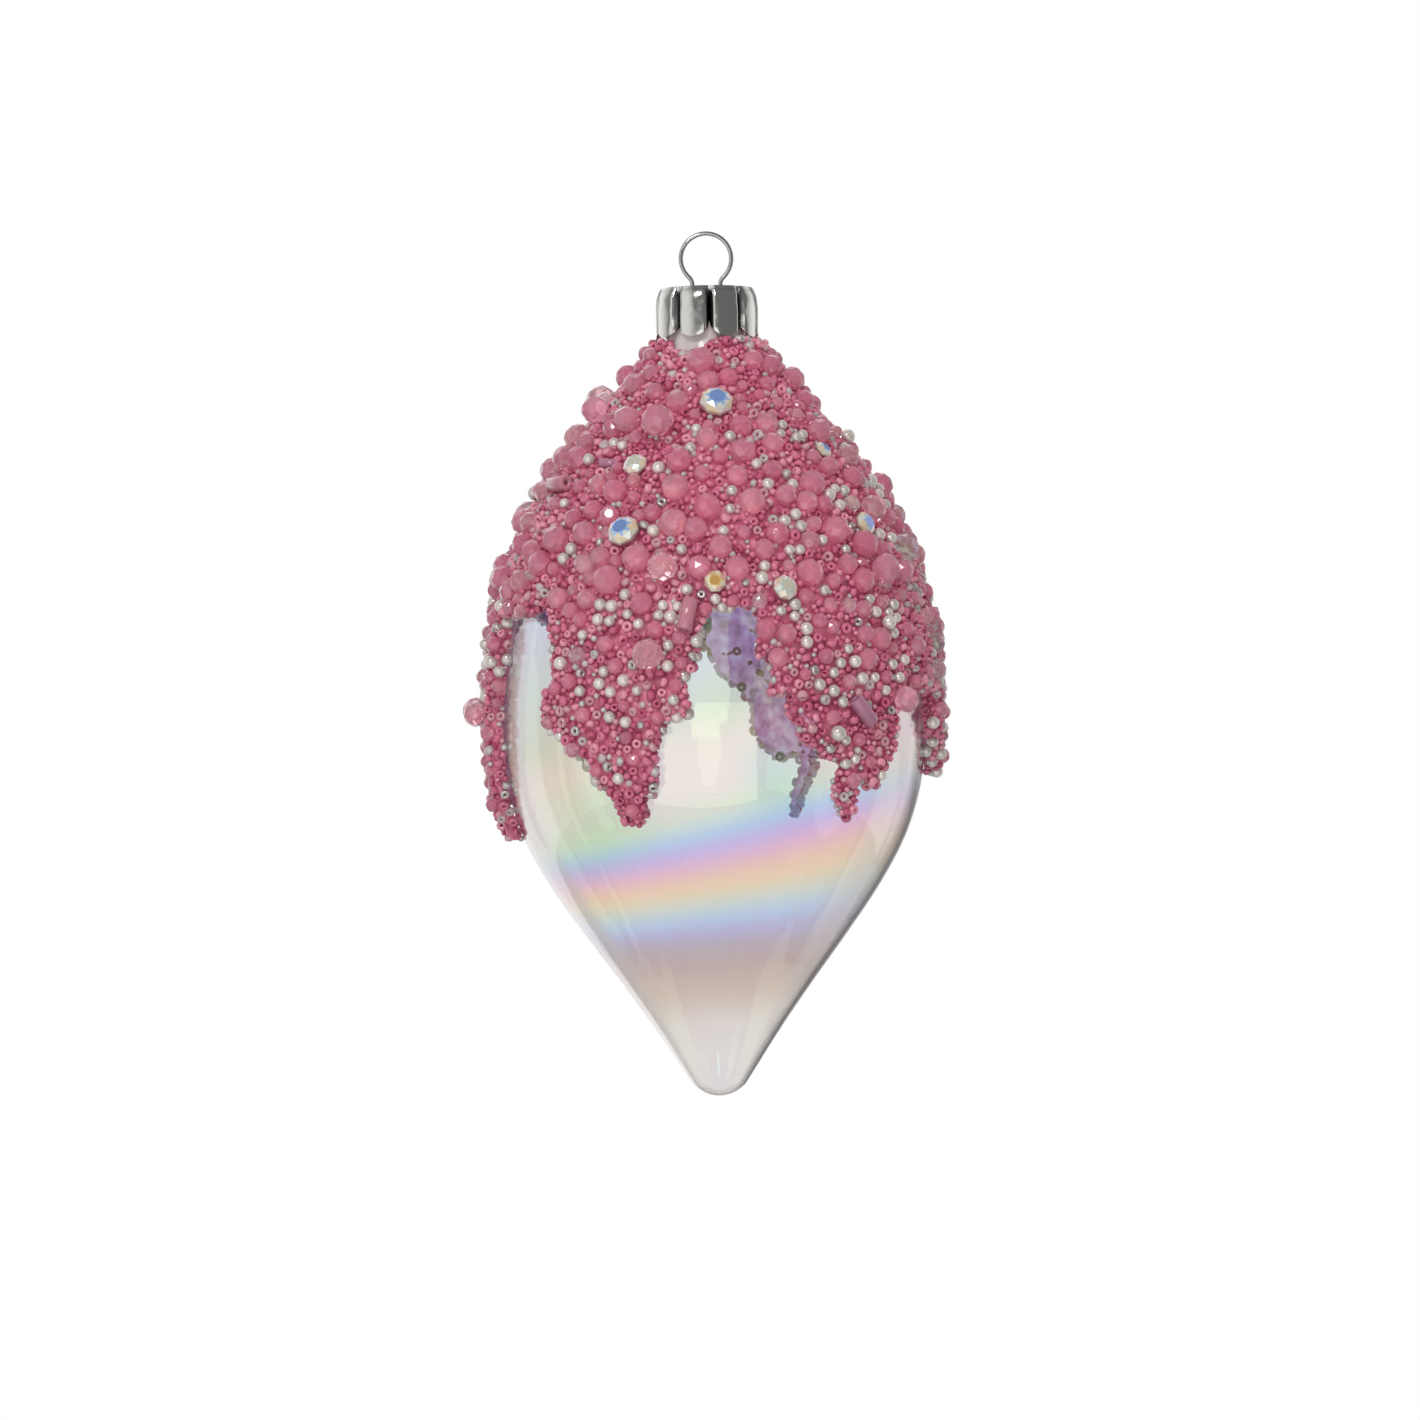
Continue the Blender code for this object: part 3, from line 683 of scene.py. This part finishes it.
def make_glue():
    """Lumpy glue under the beads: the CAD crust, cut finer, its drips made ragged.

    Returns the smooth triangles that the beads are then set on.
    """
    bm = bmesh.new()
    bm.from_mesh(frame["nodes"]["bead_crust"].data)
    bmesh.ops.subdivide_edges(bm, edges=bm.edges, cuts=GLUE_CUTS, use_grid_fill=True)
    bmesh.ops.triangulate(bm, faces=bm.faces)
    for vert, place in zip(bm.verts, ragged(np.array([v.co[:] for v in bm.verts]))):
        vert.co = place
    bm.normal_update()
    triangles = np.array([[v.co[:] for v in face.verts] for face in bm.faces])
    for vert in bm.verts:
        outward = Vector((vert.co.x, vert.co.y, 0)).normalized()
        share = min(1.0, max(0.0, vert.normal.dot(outward) + 0.4))
        lump = noise.noise(vert.co * 330) * 0.55 * MM + noise.noise(vert.co * 900) * 0.25 * MM
        vert.co += outward * (lump - 0.25 * MM) * share
    for face in bm.faces:
        middle = face.calc_center_median()
        if face.normal.dot(Vector((middle.x, middle.y, 0)).normalized()) < -0.7:
            face.material_index = 1 if middle.y > GLUE_BACK else 3
            if middle.z > GLUE_NECK:
                face.material_index = 2
    # Painted light: glowing lilac and pink for how the glue against the glass looks lit through the
    # beads and the glass
    behind = glowing_glue("glue_against_glass", GLUE_GLOW, 480.0,
                          ((0.24, 0.11, 0.24), (0.46, 0.25, 0.50), (0.56, 0.47, 0.64)))
    ahead = glowing_glue("glue_in_front", GLUE_GLOW_FRONT, 480.0,
                         ((0.36, 0.10, 0.19), (0.55, 0.22, 0.36), (0.62, 0.40, 0.52)))
    # pale colour on the glue at the neck: painted light that makes the neck look whitish
    at_neck = principled("glue_at_neck", (0.78, 0.72, 0.72), 0.5)
    materials = [glue_material(), behind, at_neck, ahead]
    add_piece("crust_glue", mesh_of(bm, "crust_glue"), materials, "drop",
              ["bead_crust"])
    return triangles


def make_neck_film():
    """Pale sheet over the neck between the cap and the crust: painted light that makes the neck
    look whitish.
    """
    heights = np.linspace(NECK_FILM[0], NECK_FILM[1], 9) * MM
    radii = glass_radius_at(heights)
    rings = [turned_ring(r + NECK_FILM_THICKNESS, z, 96) for r, z in zip(radii, heights)]
    rings += [turned_ring(r + 0.02 * MM, z, 96) for r, z in zip(radii[::-1], heights[::-1])]
    film = principled("neck_film", (0.80, 0.74, 0.74), 0.3, Coat_Weight=0.6, Coat_Roughness=0.1)
    mottle(film, 260.0, ((0.62, 0.46, 0.48), (0.80, 0.74, 0.73), (0.86, 0.84, 0.83)))
    add_bump(film, 700.0, 0.5, 0.0004)
    mesh = mesh_of(skin_rings(rings, close=True), "neck_film")
    add_piece("neck_film", mesh, [film], "drop")


# --- Bead shapes: each template is a unit shape with its own Z as the standing axis ---

def template(bm, kinds=None):
    """Arrays of a bmesh: points, corner indices, face sizes, and a kind for each face."""
    bm.verts.ensure_lookup_table()
    bm.faces.ensure_lookup_table()
    points = np.array([v.co[:] for v in bm.verts])
    sizes = np.array([len(f.verts) for f in bm.faces])
    corners = np.array([v.index for f in bm.faces for v in f.verts])
    kinds = np.zeros(len(sizes), int) if kinds is None else np.array([kinds(f) for f in bm.faces])
    bm.free()
    return points, corners, sizes, kinds


def ball_template(segments, rows):
    """Plain round bead."""
    rings = [[Vector((0, 0, 1))]]
    for i in range(1, rows):
        angle = math.pi * i / rows
        rings.append(turned_ring(math.sin(angle), math.cos(angle), segments))
    rings.append([Vector((0, 0, -1))])
    return template(skin_rings(rings))


def rocaille_template(segments=11, rows=7):
    """Seed bead: a short rounded tube with a hole."""
    rings = []
    for i in range(rows):
        angle = math.tau * i / rows
        rings.append(turned_ring(0.62 + 0.38 * math.cos(angle), 0.66 * math.sin(angle), segments))
    return template(skin_rings(rings, close=True))


def faceted_template(segments=8):
    """Cut bead: a flat table at each end and three belts of facets."""
    rings = [[Vector((0, 0, 0.86))]]
    for radius, z, twist in ((0.42, 0.86, 0.0), (0.80, 0.55, 0.5), (1.0, 0.14, 0.0),
                             (1.0, -0.14, 0.5), (0.80, -0.55, 0.0), (0.42, -0.86, 0.5)):
        rings.append(turned_ring(radius, z, segments, twist))
    rings.append([Vector((0, 0, -0.86))])
    bm = skin_rings(rings)
    bmesh.ops.triangulate(bm, faces=[f for f in bm.faces if len(f.verts) == 4])
    return template(bm)


def stone_template(segments=8):
    """Round cut stone: table (kind 0), star (1), crown (2, 4 on every other facet, for painted
    glints), rim and back (3).
    """
    rings = [[Vector((0, 0, 0.52))]]
    for radius, z, twist in ((0.46, 0.52, 0.0), (0.76, 0.38, 0.5), (0.97, 0.12, 0.0),
                             (1.0, 0.04, 0.0), (1.0, -0.06, 0.0), (0.7, -0.4, 0.0)):
        rings.append(turned_ring(radius, z, segments, twist))
    rings.append([Vector((0, 0, -0.45))])
    bm = skin_rings(rings)
    bmesh.ops.triangulate(bm, faces=[f for f in bm.faces if len(f.verts) == 4])

    def kind(face):
        middle = face.calc_center_median()
        spread = math.hypot(middle.x, middle.y)
        if middle.z > 0.5:
            return 0
        if middle.z < 0.1:
            return 3
        if spread < 0.62:
            return 1
        return 2 if math.floor(math.atan2(middle.y, middle.x) / math.tau * segments) % 2 else 4

    return template(bm, kind)


def tube_template(segments=14, half=2.0, bore=0.4):
    """Short glass tube along its own X, with a bore and slightly rounded ends."""
    profile = ((0.9, -half), (1.0, -half + 0.12), (1.0, half - 0.12), (0.9, half), (bore, half),
               (bore, -half))
    rings = [[Vector((x, p.x, p.y)) for p in turned_ring(radius, 0, segments)]
             for radius, x in profile]
    return template(skin_rings(rings, close=True))


def merge(name, shape, places, materials, smooth, replaced=()):
    """One piece holding a copy of the shape at each (point, axes, radius, tint) place."""
    points, corners, sizes, kinds = shape
    count = len(places)
    centres = np.array([p[0] for p in places])
    axes = np.array([p[1] for p in places])
    radii = np.array([p[2] for p in places], float).reshape(count, -1)
    tints = np.array([p[3] for p in places], int)
    scaled = points[None, :, :] * radii[:, None, :]
    world = np.einsum("nvk,nkj->nvj", scaled, axes) + centres[:, None, :]
    mesh = bpy.data.meshes.new(name)
    mesh.vertices.add(count * len(points))
    mesh.vertices.foreach_set("co", world.astype(np.float32).ravel())
    mesh.loops.add(count * len(corners))
    shifted = corners[None, :] + (np.arange(count) * len(points))[:, None]
    mesh.loops.foreach_set("vertex_index", shifted.astype(np.int32).ravel())
    mesh.polygons.add(count * len(sizes))
    all_sizes = np.tile(sizes, count)
    starts = np.concatenate([[0], np.cumsum(all_sizes)[:-1]])
    mesh.polygons.foreach_set("loop_start", starts.astype(np.int32))
    slots = kinds[None, :] + tints[:, None]
    mesh.polygons.foreach_set("material_index", slots.astype(np.int32).ravel())
    mesh.polygons.foreach_set("use_smooth", np.full(count * len(sizes), smooth))
    mesh.update(calc_edges=True)
    mesh.validate()
    add_piece(name, mesh, materials, "drop", replaced)


# --- Places for the beads ---

def axes_for(normal, spin, lean=0.0):
    """Rows are the bead's own X, Y and Z axes: Z along the normal, leaned and spun."""
    normal = normal / np.linalg.norm(normal)
    side = np.cross(normal, (0.0, 0.0, 1.0) if abs(normal[2]) < 0.9 else (1.0, 0.0, 0.0))
    side /= np.linalg.norm(side)
    other = np.cross(normal, side)
    x = side * math.cos(spin) + other * math.sin(spin)
    z = normal * math.cos(lean) + x * math.sin(lean)
    x = x * math.cos(lean) - normal * math.sin(lean)
    return np.array([x, np.cross(z, x), z])


class Crowd:
    """Beads placed so far, in coarse and fine cells, to test a new one against its neighbours."""

    def __init__(self):
        self.cells = {}

    def add(self, point, radius):
        x, y, z = (float(c) for c in point)
        size = CELLS[1] if radius < CELLS[1] / 2 else CELLS[0]
        key = (size, math.floor(x / size), math.floor(y / size), math.floor(z / size))
        self.cells.setdefault(key, []).append((x, y, z, float(radius)))

    def free(self, point, radius, overlap):
        """Whether no bead is nearer than the two radii, times overlap."""
        x, y, z = (float(c) for c in point)
        for size in CELLS:
            i, j, k = math.floor(x / size), math.floor(y / size), math.floor(z / size)
            for di, dj, dk in NEIGHBOURS:
                for ox, oy, oz, reach in self.cells.get((size, i + di, j + dj, k + dk), ()):
                    limit = (radius + reach) * overlap
                    if (x - ox) ** 2 + (y - oy) ** 2 + (z - oz) ** 2 < limit * limit:
                        return False
        return True


def crust_samples(corners):
    """Random points, evenly over the outside and edges of the crust's triangles, with normals."""
    cross = np.cross(corners[:, 1] - corners[:, 0], corners[:, 2] - corners[:, 0])
    area = np.linalg.norm(cross, axis=1) / 2
    normals = cross / np.maximum(np.linalg.norm(cross, axis=1), 1e-12)[:, None]
    middle = corners.mean(axis=1)
    outward = middle * (1, 1, 0)
    outward /= np.linalg.norm(outward, axis=1)[:, None]
    weight = np.where((normals * outward).sum(axis=1) > OUTER_FACES, area, 0.0)
    picked = rng.choice(len(area), SAMPLES, p=weight / weight.sum())
    a, b = rng.random(SAMPLES), rng.random(SAMPLES)
    flip = a + b > 1
    a, b = np.where(flip, 1 - a, a)[:, None], np.where(flip, 1 - b, b)[:, None]
    chosen = corners[picked]
    spots = chosen[:, 0] + a * (chosen[:, 1] - chosen[:, 0]) + b * (chosen[:, 2] - chosen[:, 0])
    return spots, normals[picked]


def seat(crowd, spot, normal, radius, sink, overlap):
    """Centre of a bead set in the glue at the spot, or None where its neighbours are in the way."""
    centre = spot + normal * radius * sink
    if not crowd.free(centre, radius, overlap):
        return None
    crowd.add(centre, radius)
    return centre


def facing_out(spot, normal):
    """How far a normal of the crust points away from the drop's axis, from -1 to 1."""
    return (normal[0] * spot[0] + normal[1] * spot[1]) / math.hypot(spot[0], spot[1])


def cad_beads(stem):
    """(name, centre sunk in the glue, outward normal, radius) of each CAD bead of one kind."""
    crust = tree_of("bead_crust")
    beads = []
    for name in sorted(frame["nodes"]):
        if name.startswith(stem):
            low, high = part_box(name)
            centre = (low + high) / 2
            near, _, _, _ = crust.find_nearest(centre)
            normal = np.array((centre - near).normalized())
            sunk = np.array(centre) - normal * SINK[stem]
            beads.append((name, sunk, normal, max(high - low) / 2))
    return beads


def pink(name, colour, roughness=0.14, **more):
    """Glossy glass bead."""
    settings = dict(Coat_Weight=0.6, Coat_Roughness=0.04, IOR=1.5)
    settings.update(more)
    return principled(name, colour, roughness, **settings)


def bead_tints():
    """Materials of the seed and micro beads; the last, with a painted glow, is for those seen
    through the glass.
    """
    return [pink("bead_rose", (0.66, 0.165, 0.27)),
            pink("bead_rose_deep", (0.52, 0.095, 0.18)),
            pink("bead_rose_light", (0.78, 0.29, 0.38)),
            pink("bead_blush", (0.84, 0.46, 0.51), 0.1, Transmission_Weight=0.35),
            pink("bead_crystal", (0.90, 0.84, 0.82), 0.06, Transmission_Weight=0.55,
                 Thin_Film_Thickness=380.0, Thin_Film_IOR=1.7),
            pink("bead_silver_lined", (0.62, 0.58, 0.56), 0.2, Metallic=0.6),
            # painted light: a greyish lilac glow for how these beads look lit through the glass
            pink("bead_behind_glass", (0.48, 0.36, 0.45), 0.2, Emission_Strength=0.45,
                 Emission_Color=(0.42, 0.31, 0.48, 1.0))]


def place_cad_beads(crowd):
    """Places of the beads that CAD has, as four lists: stones, cut beads, tubes and pearls."""
    stones, cut, tubes, pearls = [], [], [], []
    for name, centre, normal, radius in cad_beads("crystal_stone"):
        crowd.add(centre, radius)
        hue = STONE_HUE_OF.get(name, 0) * STONE_KINDS
        stones.append((centre, axes_for(normal, rng.random() * 6, 0.12), (radius,) * 3, hue))
    for _, centre, normal, radius in cad_beads("faceted_bead"):
        crowd.add(centre, radius)
        axes = axes_for(normal, rng.random() * 6, rng.random() * 0.9)
        cut.append((centre, axes, (radius * CUT_SIZE,) * 3, rng.integers(3)))
    for turn, (_, centre, normal, radius) in enumerate(cad_beads("tube_bead")):
        thin = radius * TUBE_SIZE
        axes = axes_for(normal, TUBE_SPIN + TUBE_TURN * turn)
        for step in (-1, 0, 1):
            crowd.add(centre + axes[0] * thin * 1.1 * step, thin * 1.1)
        tubes.append((centre, axes, (thin,) * 3, rng.integers(2)))
    for _, centre, normal, radius in cad_beads("pearl"):
        crowd.add(centre, radius)
        pearls.append((centre, axes_for(normal, 0.0), (radius * PEARL_SIZE,) * 3, rng.integers(2)))
    return stones, cut, tubes, pearls


def make_beads(triangles):
    """All beads: the CAD ones in their places, then the rest scattered, large ones first."""
    spots, normals = crust_samples(triangles)
    crowd = Crowd()
    tints = bead_tints()
    stones, cut, tubes, pearls = place_cad_beads(crowd)
    order = iter(range(SAMPLES))

    def scatter(count, radii, sink, overlap, keep, places, tint_of, lean, tries):
        """Seats up to count beads at the next samples where keep(spot) is true."""
        made = 0
        for _ in range(tries):
            i = next(order, None)
            if i is None or made >= count:
                return
            big_on_edge = radii[0] > 1.0 and facing_out(spots[i], normals[i]) < BIG_FACES
            if not keep(spots[i]) or big_on_edge:
                continue
            radius = rng.uniform(*radii) * MM
            centre = seat(crowd, spots[i], normals[i], radius, sink, overlap)
            if centre is not None:
                axes = axes_for(normals[i], rng.random() * math.tau, rng.normal() * lean)
                places.append((centre, axes, (radius,) * 3, tint_of(spots[i], normals[i])))
                made += 1

    def between(low, high):
        return lambda spot: low * MM < spot[2] < high * MM

    def in_pearl_patch(spot):
        return noise.noise(Vector(spot) / (8.0 * MM)) > 0.05 and -0.095 < spot[2] < -0.032

    def drawn(shares):
        return lambda spot, normal: rng.choice(len(shares), p=shares)

    def drawn_by_side(shares):
        """As drawn, but the last tint, with its painted glow, on the edges of the back drips behind
        the front gap.
        """
        def tint(spot, normal):
            behind_gap = 0 < spot[0] < BEHIND_GAP * spot[1] and spot[2] < BEHIND_TOP
            if behind_gap and facing_out(spot, normal) < BEHIND_EDGE:
                return len(tints) - 1
            return rng.choice(len(shares), p=shares)
        return tint

    seeds, micro = [], []
    cut_tint, even = drawn((0.38, 0.34, 0.18, 0.10)), drawn((0.5, 0.5))
    seed_tint = drawn_by_side((0.30, 0.24, 0.20, 0.12, 0.08, 0.06))
    micro_tint = drawn_by_side((0.30, 0.32, 0.18, 0.10, 0.07, 0.03))
    scatter(110, (2.0, 2.7), 0.3, 0.84, between(-62, -23), cut, cut_tint, 0.9, 5000)
    scatter(110, (1.5, 2.1), 0.3, 0.86, between(-80, -22), cut, cut_tint, 0.9, 3500)
    scatter(220, (1.05, 1.5), 0.35, 0.86, between(-200, -21), cut, cut_tint, 0.9, 6000)
    scatter(14, (0.8, 1.1), 0.4, 1.25, between(-80, 0), tubes, even, 0.2, 1500)
    scatter(330, (0.92, 1.22), 0.35, 0.96, in_pearl_patch, pearls, even, 0.3, 9000)
    scatter(4200, (0.78, 1.05), 0.25, 0.9, between(-200, 0), seeds, seed_tint, 1.2, 26000)
    scatter(7500, (0.42, 0.66), 0.7, 0.86, between(-200, 0), micro, micro_tint, 0.8, 95000)

    rainbow = dict(Coat_Weight=1.0, Coat_Roughness=0.02, Thin_Film_Thickness=340.0,
                   Thin_Film_IOR=1.8)
    stone_parts = []
    for hue, table, star, crown, glint_colour in STONE_HUES:
        stone_parts += [principled(f"stone_table_{hue}", table, 0.06, Metallic=0.35, **rainbow),
                        principled(f"stone_star_{hue}", star, 0.06, Metallic=0.3, **rainbow),
                        principled(f"stone_crown_{hue}", crown, 0.07, Metallic=0.25, **rainbow),
                        principled(f"stone_back_{hue}", (0.62, 0.55, 0.48), 0.15, Metallic=0.6),
                        principled(f"stone_glint_{hue}", glint_colour, 0.07, Metallic=0.25, **rainbow)]
    cut_tints = [pink("cut_rose", (0.90, 0.43, 0.55), 0.05, Transmission_Weight=0.65),
                 pink("cut_rose_deep", (0.84, 0.30, 0.43), 0.05, Transmission_Weight=0.55),
                 pink("cut_rose_pale", (0.95, 0.60, 0.66), 0.05, Transmission_Weight=0.75),
                 pink("cut_crystal", (0.92, 0.88, 0.86), 0.04, Transmission_Weight=0.85,
                      Thin_Film_Thickness=380.0, Thin_Film_IOR=1.7)]
    tube_tints = [pink("tube_rose", (0.70, 0.28, 0.36), 0.1, Transmission_Weight=0.3),
                  pink("tube_mauve", (0.55, 0.24, 0.36), 0.1, Transmission_Weight=0.3)]
    lustre = dict(Coat_Weight=1.0, Coat_Roughness=0.06, Coat_IOR=1.9)
    pearl_tints = [principled("pearl_cream", (0.80, 0.72, 0.66), 0.22, Metallic=0.35, **lustre),
                   principled("pearl_grey", (0.70, 0.64, 0.59), 0.22, Metallic=0.4, **lustre)]

    def names(stem):
        return [bead[0] for bead in cad_beads(stem)]

    merge("stones", stone_template(), stones, stone_parts, False, names("crystal_stone"))
    merge("cut_beads", faceted_template(), cut, cut_tints, False, names("faceted_bead"))
    merge("tube_beads", tube_template(), tubes, tube_tints, True, names("tube_bead"))
    merge("pearls", ball_template(20, 14), pearls, pearl_tints, True, names("pearl"))
    for name, shape, places, share in (("seed_beads", rocaille_template(), seeds, 1000),
                                       ("micro_beads", ball_template(8, 6), micro, 2000)):
        for i in range(0, len(places), share):
            merge(f"{name}_{i // share + 1}", shape, places[i:i + share], tints, True)


# --- Studio ---

def make_world():
    """White in front of the camera and through the glass; a darker studio for what is mirrored.

    A dark flag behind on the right, darker low down, draws the dark line down the right edge of
    the glass, which bends light sideways there.
    """
    world = bpy.data.worlds.new("studio")
    bpy.context.scene.world = world
    world.use_nodes = True
    world.node_tree.nodes.clear()

    def ramp(source, low, high, start, end):
        return node(world, "ShaderNodeMapRange", [
            ("Value", source), ("From Min", low), ("From Max", high), ("To Min", start),
            ("To Max", end)], interpolation_type="SMOOTHSTEP").outputs["Result"]

    def math_of(operation, first, second):
        return node(world, "ShaderNodeMath", [(0, first), (1, second)],
                    operation=operation).outputs[0]

    direction = node(world, "ShaderNodeTexCoord").outputs["Generated"]
    split = node(world, "ShaderNodeSeparateXYZ", [(0, direction)])
    right, back, up = (split.outputs[axis] for axis in "XYZ")
    side = math_of("MULTIPLY", ramp(right, 0.10, 0.26, 0.0, 1.0), ramp(right, 0.75, 0.5, 0.0, 1.0))
    flag = math_of("MULTIPLY", side, ramp(back, 0.2, 0.5, 0.0, 1.0))
    behind = ramp(back, -0.1, 0.75, MIRROR_FRONT, 1.0)
    left = math_of("MULTIPLY", ramp(right, -0.35, -0.7, 0.0, 0.8), ramp(back, 0.0, -0.2, 0.0, 1.0))
    shade = math_of("MAXIMUM", behind, left)
    unflagged = math_of("SUBTRACT", 1.0, math_of("MULTIPLY", flag, FLAG_MIRRORED))
    mirrored = math_of("MULTIPLY", shade, unflagged)
    depth = ramp(up, -0.02, -0.12, FLAG_LEVEL, FLAG_LOW)
    through = math_of("SUBTRACT", 1.0, math_of("MULTIPLY", flag, depth))
    white = (1.0, 1.0, 1.0, 1.0)
    lights = [node(world, "ShaderNodeBackground", [("Color", white), ("Strength", strength)])
              for strength in (WORLD_SOFT, mirrored, through, 1.0)]
    rays = node(world, "ShaderNodeLightPath")
    mixed = lights[0]
    for name, light in zip(("Is Glossy Ray", "Is Transmission Ray", "Is Camera Ray"), lights[1:]):
        mixed = node(world, "ShaderNodeMixShader", [(0, rays.outputs[name]), (1, mixed.outputs[0]),
                                                    (2, light.outputs[0])])
    node(world, "ShaderNodeOutputWorld", [(0, mixed.outputs[0])])


def softbox(target, name, offset, width, height, power):
    """Rectangular light at an offset from its target, and turned to it."""
    data = bpy.data.lights.new(name, "AREA")
    data.shape = "RECTANGLE"
    data.size = width
    data.size_y = height
    data.energy = power
    lamp = add_object(name, data)
    lamp.location = target + Vector(offset)
    lamp.rotation_euler = (target - (target + Vector(offset))).to_track_quat("-Z", "Y").to_euler()
    return lamp


def make_studio():
    """World, three softboxes and the floor."""
    low, high = CAD_BOX
    centre = (low + high) / 2
    make_world()
    softbox(centre, *WINDOW)
    softbox(centre, *KEY)
    softbox(centre, *TOP).visible_glossy = False
    bm = bmesh.new()
    bmesh.ops.create_circle(bm, cap_ends=True, segments=96, radius=FLOOR_RADIUS)
    floor = add_object("floor", mesh_of(bm, "floor", smooth=False))
    floor.location = (0, 0, low.z - FLOOR_DROP)
    floor.data.materials.append(principled("pale_floor", (0.86, 0.86, 0.86), 0.6))


def make_camera():
    """Straight on at mid height, with the drop leaning a degree as it hangs."""
    low, high = CAD_BOX
    data = bpy.data.cameras.new("camera")
    data.lens = LENS
    data.sensor_width = SENSOR
    data.clip_end = 20
    camera = add_object("camera", data)
    frame_height = (high.z - low.z) / FILL
    distance = frame_height * data.lens / data.sensor_width
    camera.location = (CAMERA_ASIDE, -distance, (low.z + high.z) / 2 - RAISED * frame_height)
    camera.rotation_euler = (math.radians(90), math.radians(LEAN_DEG), 0)
    bpy.context.scene.camera = camera


bpy.context.scene.view_settings.view_transform = "Standard"
make_camera()
make_studio()
wire_metal = principled("drawn_wire", (0.56, 0.56, 0.57), 0.22, Metallic=1.0)
vary_roughness(wire_metal, 1500.0, 0.15, 0.32)
make_hanger(wire_metal)
make_legs(wire_metal)
make_cap()
make_glass()
crust_triangles = make_glue()
make_neck_film()
make_beads(crust_triangles)
